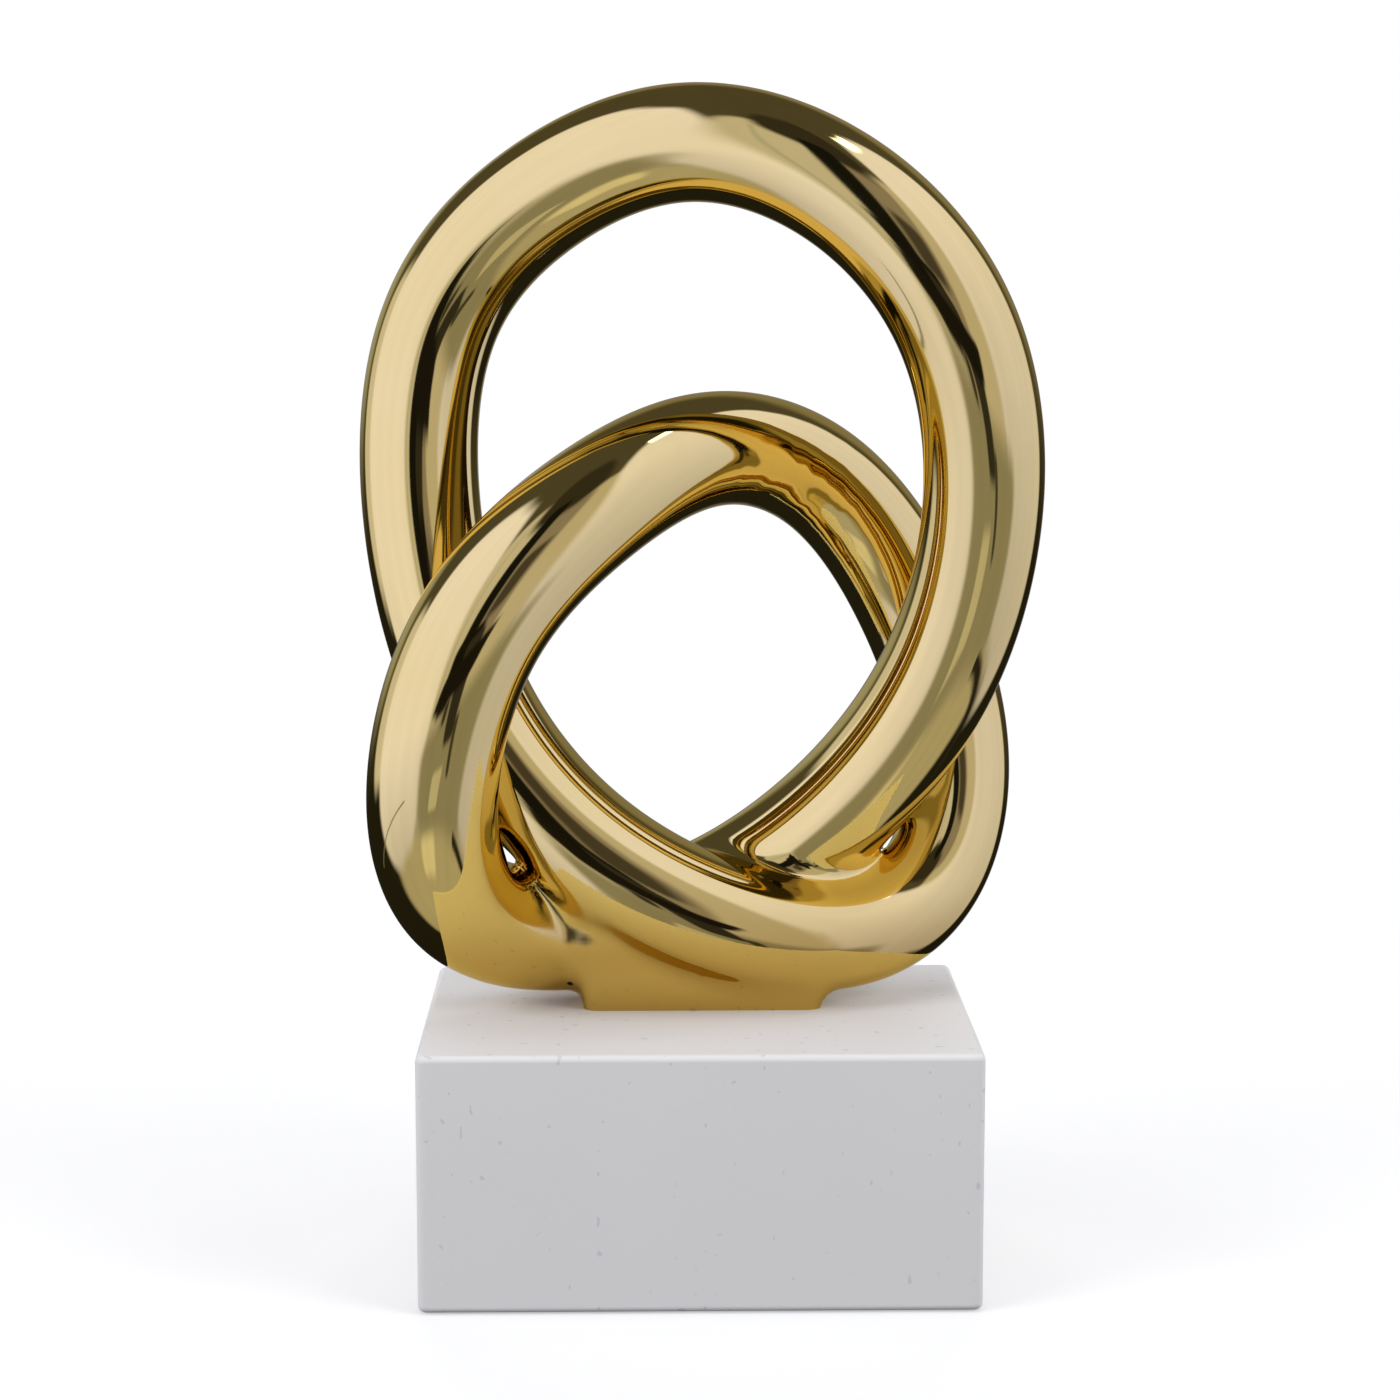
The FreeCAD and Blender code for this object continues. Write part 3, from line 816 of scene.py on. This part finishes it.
# Azimuth 0 is behind the sculpture, 90 to its right, 180 towards the camera, 270 to its left.
# Each patch is a soft-edged rounded rectangle on the sky, in degrees, painted over those before
# it. Slant is how far it leans to a higher azimuth for each degree up. Its colour falls to the
# low share of itself at its foot, from where it is full, a share of its height off its middle.
studioPatches = [
    {"name": "frontFloor", "azimuth": 180, "elevation": -66, "wide": 190, "tall": 50,
     "corner": 20, "soft": 7, "colour": (0.52, 0.54, 0.72)},
    {"name": "rearWall", "azimuth": 12, "elevation": 20, "wide": 66, "tall": 34,
     "corner": 14, "soft": 8, "colour": (0.28, 0.28, 0.32)},
    {"name": "rearGlow", "azimuth": 332, "elevation": 9, "wide": 38, "tall": 22,
     "corner": 9, "soft": 7, "colour": (0.42, 0.47, 0.68)},
    {"name": "rearStreak", "azimuth": 6, "elevation": -14, "wide": 26, "tall": 28,
     "corner": 8, "soft": 7, "colour": (0.36, 0.38, 0.52), "low": 0.3, "full": 0.3},
    {"name": "leftOuter", "azimuth": 288, "elevation": 4, "wide": 34, "tall": 36,
     "corner": 10, "soft": 3, "colour": (0.79, 0.86, 1.53)},
    {"name": "rightInner", "azimuth": 151, "elevation": 8, "wide": 30, "tall": 80,
     "slant": -0.12, "corner": 6, "soft": 3, "colour": (0.64, 0.66, 0.99)},
    {"name": "rightEdge", "azimuth": 170, "elevation": 12, "wide": 20, "tall": 64,
     "slant": -0.24, "corner": 4, "soft": 2.5, "colour": (0.33, 0.32, 0.48)},
    {"name": "rightBox", "azimuth": 99, "elevation": 12, "wide": 84, "tall": 110,
     "slant": 0.06, "corner": 24, "soft": 3, "colour": (1.06, 1.17, 2.45), "low": 0.6,
     "full": 0.3},
    {"name": "leftInner", "azimuth": 198, "elevation": 6, "wide": 26, "tall": 104,
     "slant": -0.1, "corner": 10, "soft": 3.5, "colour": (0.68, 0.73, 1.19), "low": 0.7},
    {"name": "leftBox", "azimuth": 246, "elevation": 8, "wide": 82, "tall": 112,
     "slant": 0.05, "corner": 28, "soft": 3.5, "colour": (1.1, 1.21, 2.56), "low": 0.66,
     "full": -0.15},
    {"name": "leftSeam", "azimuth": 199, "elevation": 18, "wide": 1.6, "tall": 60,
     "slant": -0.1, "corner": 0.8, "soft": 0.6, "colour": (0.54, 0.61, 0.99)},
    {"name": "gapTop", "azimuth": 172, "elevation": 58, "wide": 44, "tall": 30,
     "corner": 12, "soft": 4, "colour": (0.043, 0.041, 0.048)},
    {"name": "gap", "azimuth": 183, "elevation": 18, "wide": 12, "tall": 66,
     "slant": -0.25, "corner": 3, "soft": 1.5, "colour": (0.0099, 0.011, 0.014)},
    {"name": "gapSide", "azimuth": 169, "elevation": 15, "wide": 13, "tall": 20,
     "slant": -0.3, "corner": 4, "soft": 2.5, "colour": (0.076, 0.074, 0.094)},
    {"name": "gapFoot", "azimuth": 184, "elevation": -1, "wide": 22, "tall": 13,
     "corner": 4, "soft": 1.5, "colour": (0.011, 0.011, 0.014)},
    {"name": "lowFront", "azimuth": 166, "elevation": -32, "wide": 84, "tall": 30,
     "corner": 9, "soft": 5, "colour": (0.33, 0.35, 0.48)},
    {"name": "frontGlow", "azimuth": 188, "elevation": -55, "wide": 32, "tall": 13,
     "corner": 5, "soft": 3, "colour": (0.84, 0.88, 1.12)},
    {"name": "markUpper", "azimuth": 173, "elevation": -12, "wide": 13, "tall": 28,
     "slant": 0.3, "corner": 3, "soft": 1.2, "colour": (0.037, 0.039, 0.051)},
    {"name": "gapBar", "azimuth": 180, "elevation": -8, "wide": 38, "tall": 10,
     "slant": -0.6, "corner": 3, "soft": 1.5, "colour": (0.013, 0.012, 0.017)},
    {"name": "markMiddle", "azimuth": 183, "elevation": -16, "wide": 5, "tall": 6,
     "slant": 0, "corner": 2, "soft": 1, "colour": (0.05, 0.052, 0.068)},
    {"name": "markLower", "azimuth": 160, "elevation": -28, "wide": 5, "tall": 13,
     "slant": 0.3, "corner": 2, "soft": 1, "colour": (0.062, 0.065, 0.085)},
    {"name": "markPale", "azimuth": 178, "elevation": -36, "wide": 16, "tall": 10,
     "slant": -0.4, "corner": 2, "soft": 1.2, "colour": (0.62, 0.66, 0.92)},
    {"name": "lineLeft", "azimuth": 268, "elevation": -30, "wide": 70, "tall": 0.7,
     "corner": 0.3, "soft": 0.3, "colour": (0.25, 0.26, 0.34)},
    {"name": "lineRight", "azimuth": 95, "elevation": -46, "wide": 76, "tall": 3,
     "corner": 1.5, "soft": 1, "colour": (0.025, 0.026, 0.034)},
    {"name": "strip", "azimuth": 106, "elevation": 67, "wide": 36, "tall": 5,
     "corner": 2, "soft": 1, "colour": (3.71, 4.29, 6.82)},
]

studio = {
    "ceiling": (0.092, 0.092, 0.099),
    "rearFloor": (0.018, 0.019, 0.022),
    "horizonLow": -12,
    "horizonHigh": 4,
    "diffuseShare": 0.42,  # how brightly it lights the block, of what the mirror sees
    "background": 1.0,
    "foldSize": 12.0,
    "foldStretch": 0.12,
    "foldDetail": 3.0,
    "foldLow": 0.3,
    "foldHigh": 0.7,
    "foldDepth": 0.07,
}


def patchGroup():
    # one patch as a reusable group: the rounded rectangle's distance, softened into a share
    group = bpy.data.node_groups.new("studioPatch", "ShaderNodeTree")
    floats = ("Azimuth", "Elevation", "Centre", "Height", "Wide", "Tall", "Slant",
              "Corner", "Soft", "Low", "Full")
    for name in floats:
        group.interface.new_socket(name, in_out="INPUT", socket_type="NodeSocketFloat")
    for name in ("Under", "Colour"):
        group.interface.new_socket(name, in_out="INPUT", socket_type="NodeSocketColor")
    group.interface.new_socket("Over", in_out="OUTPUT", socket_type="NodeSocketColor")
    source = group.nodes.new("NodeGroupInput").outputs
    sink = group.nodes.new("NodeGroupOutput").inputs

    up = calc(group, "SUBTRACT", source["Elevation"], source["Height"])
    lean = calc(group, "MULTIPLY", up, source["Slant"])
    turn = calc(group, "SUBTRACT", source["Azimuth"], source["Centre"])
    turn = calc(group, "SUBTRACT", turn, lean)
    turn = calc(group, "WRAP", turn, 180.0, -180.0)
    past = []
    for offset, width in ((turn, source["Wide"]), (up, source["Tall"])):
        half = calc(group, "SUBTRACT", calc(group, "MULTIPLY", width, 0.5), source["Corner"])
        past.append(calc(group, "SUBTRACT", calc(group, "ABSOLUTE", offset), half))
    beyond = [calc(group, "MAXIMUM", value, 0.0) for value in past]
    squares = [calc(group, "MULTIPLY", value, value) for value in beyond]
    outside = calc(group, "SQRT", calc(group, "ADD", *squares))
    within = calc(group, "MINIMUM", calc(group, "MAXIMUM", *past), 0.0)
    distance = calc(group, "SUBTRACT", calc(group, "ADD", outside, within), source["Corner"])
    edge = calc(group, "DIVIDE", distance, source["Soft"])
    share = remap(group, edge, -1, 1, 1, 0, smooth=True)
    # the lower part of a patch is dimmer
    height = calc(group, "DIVIDE", up, source["Tall"])
    dim = remap(group, height, -0.5, source["Full"], source["Low"], 1)  # from its foot up
    shade = scaleColour(group, source["Colour"], dim)
    over = blendColours(group, share, source["Under"], shade)
    group.links.new(over, sink["Over"])
    return group


def makeStudio():
    world = bpy.data.worlds.new("studio")
    scene.world = world
    world.use_nodes = True
    tree = world.node_tree
    tree.nodes.clear()

    direction = tree.nodes.new("ShaderNodeTexCoord")
    split = tree.nodes.new("ShaderNodeSeparateXYZ")
    tree.links.new(direction.outputs["Generated"], split.inputs[0])
    x, y, z = split.outputs
    azimuth = calc(tree, "DEGREES", calc(tree, "ARCTAN2", x, y))
    elevation = calc(tree, "DEGREES", calc(tree, "ARCSINE", z))
    share = remap(tree, elevation, studio["horizonLow"], studio["horizonHigh"], 0, 1)
    colour = blendColours(tree, share, studio["rearFloor"], studio["ceiling"])
    group = patchGroup()
    for patch in studioPatches:
        node = tree.nodes.new("ShaderNodeGroup")
        node.node_tree = group
        node.label = patch["name"]
        given = {
            "Azimuth": azimuth, "Elevation": elevation, "Under": colour,
            "Centre": patch["azimuth"], "Height": patch["elevation"], "Wide": patch["wide"],
            "Tall": patch["tall"], "Slant": patch.get("slant", 0), "Corner": patch["corner"],
            "Soft": patch["soft"], "Low": patch.get("low", 1), "Full": patch.get("full", 0),
            "Colour": patch["colour"],
        }
        for name, value in given.items():
            feed(tree, node.inputs[name], value)
        colour = node.outputs["Over"]

    # the cloth of the boxes hangs in faint upright folds
    folds = tree.nodes.new("ShaderNodeCombineXYZ")
    tree.links.new(azimuth, folds.inputs[0])
    tree.links.new(calc(tree, "MULTIPLY", elevation, studio["foldStretch"]), folds.inputs[1])
    shade = noise(tree, folds.outputs[0], studio["foldSize"], studio["foldDetail"])
    shade = remap(tree, shade, studio["foldLow"], studio["foldHigh"],
                  1 - studio["foldDepth"], 1)
    colour = scaleColour(tree, colour, shade)

    ray = tree.nodes.new("ShaderNodeLightPath")
    grey = tree.nodes.new("ShaderNodeRGBToBW")
    tree.links.new(colour, grey.inputs[0])
    # light that reaches the block by way of the gold comes from a colourless studio
    bounced = calc(tree, "GREATER_THAN", ray.outputs["Diffuse Depth"], 0.5)  # at least once
    colour = blendColours(tree, bounced, colour, grey.outputs[0])
    softened = calc(tree, "MULTIPLY", grey.outputs[0], studio["diffuseShare"])
    colour = blendColours(tree, ray.outputs["Is Diffuse Ray"], colour, softened)
    backdrop = studio["background"]
    colour = blendColours(tree, ray.outputs["Is Camera Ray"], colour,
                          (backdrop, backdrop, backdrop))
    light = tree.nodes.new("ShaderNodeBackground")
    output = tree.nodes.new("ShaderNodeOutputWorld")
    tree.links.new(colour, light.inputs["Color"])
    tree.links.new(light.outputs[0], output.inputs["Surface"])


# Soft lamps that light the block and floor, but that the mirror doesn't see. Power is in watts.
fillLamps = [
    {"name": "topLamp", "place": (0.0, 0.0, 1.7), "aim": (0.0, 0.0, 0.0), "size": 1.6,
     "power": 10.0},
    {"name": "leftLamp", "place": (-1.33, -0.77, 0.78), "aim": (0.0, 0.0, 0.08), "size": 1.0,
     "power": 14.5},
    {"name": "rightLamp", "place": (1.33, -0.77, 0.78), "aim": (0.0, 0.0, 0.08), "size": 1.0,
     "power": 14.5},
    {"name": "rearLamp", "place": (0.0, 1.5, 0.75), "aim": (0.0, 0.0, 0.08), "size": 1.6,
     "power": 14.0},
]


def makeLamps():
    for lamp in fillLamps:
        data = bpy.data.lights.new(lamp["name"], "AREA")
        data.shape = "DISK"
        data.size = lamp["size"]
        data.energy = lamp["power"]
        light = bpy.data.objects.new(lamp["name"], data)
        light.location = lamp["place"]
        aim = Vector(lamp["aim"]) - Vector(lamp["place"])
        light.rotation_euler = aim.to_track_quat("-Z", "Y").to_euler()
        light.visible_glossy = False
        scene.collection.objects.link(light)


paleFloor = {
    "radius": 6.0,
    "rings": 24,
    "around": 96,
    "tone": (0.93, 0.93, 0.93),
    "otherTone": (0.95, 0.95, 0.95),
    "toneSize": 0.05,
    "toneDetail": 3.0,
    "rough": 0.6,
    "fadeStart": 0.12,  # from here to fadeEnd the floor's painted glow rises from the glow share to full
    "fadeEnd": 0.6,
    "glow": 0.45,
}


def makeFloor():
    # A pale round floor that brightens into the white background, with painted light: a glow
    # mixed into it lightens its shadows near the block and fills it out to white far off. It is
    # made of rings of vertices, whose radii grow as the square of their number.
    rings = np.linspace(0, 1, paleFloor["rings"] + 1)[1:] ** 2 * paleFloor["radius"]
    turn = np.linspace(0, 2 * math.pi, paleFloor["around"], endpoint=False)
    ringX = np.outer(rings, np.cos(turn)).ravel()
    ringY = np.outer(rings, np.sin(turn)).ravel()
    vertices = np.zeros((len(ringX) + 1, 3))
    vertices[1:, 0], vertices[1:, 1] = ringX, ringY
    count = paleFloor["around"]
    i = np.arange(count)
    j = (i + 1) % count
    faces = [(0, a, b) for a, b in zip((1 + i).tolist(), (1 + j).tolist())]
    for ring in range(paleFloor["rings"] - 1):
        inner = 1 + ring * count
        outer = inner + count
        faces += np.stack([inner + i, outer + i, outer + j, inner + j], 1).tolist()
    material, tree, shader, place = newMaterial("paleFloor")
    mottle = noise(tree, place, paleFloor["toneSize"], paleFloor["toneDetail"])
    mottle = blendColours(tree, mottle, paleFloor["tone"], paleFloor["otherTone"])
    tree.links.new(mottle, shader.inputs["Base Color"])
    shader.inputs["Roughness"].default_value = paleFloor["rough"]
    shader.inputs["Specular IOR Level"].default_value = 0.0
    # painted light: a share of white glow over the floor, growing with distance from the
    # middle, that lightens cast shadows
    far = distanceTo(tree, place, (0, 0, 0))
    share = remap(tree, far, paleFloor["fadeStart"], paleFloor["fadeEnd"],
                  paleFloor["glow"], 1)
    glow = tree.nodes.new("ShaderNodeEmission")
    glow.inputs["Strength"].default_value = 1.0
    mix = tree.nodes.new("ShaderNodeMixShader")
    tree.links.new(share, mix.inputs["Fac"])
    tree.links.new(shader.outputs[0], mix.inputs[1])
    tree.links.new(glow.outputs[0], mix.inputs[2])
    tree.links.new(mix.outputs[0], tree.nodes["Material Output"].inputs["Surface"])
    floor = meshObject("floor", vertices, faces, material)
    floor.visible_glossy = False
    floor.visible_diffuse = False


camera = {  # turned down and to the right, in degrees
    "place": (-0.0162, -1.0244, 0.3306),
    "down": 8.20,
    "right": 0.95,
    "lens": 83.1,
    "sensor": 36.0,
}


def makeCamera():
    data = bpy.data.cameras.new("photoCamera")
    data.lens = camera["lens"]
    data.sensor_width = camera["sensor"]
    eye = bpy.data.objects.new("photoCamera", data)
    eye.location = camera["place"]
    eye.rotation_euler = (math.radians(90 - camera["down"]), 0, math.radians(-camera["right"]))
    scene.collection.objects.link(eye)
    scene.camera = eye


makeStudio()
makeLamps()
makeFloor()
makeCamera()
scene.view_settings.view_transform = "Standard"
print("studio, floor and camera ready")
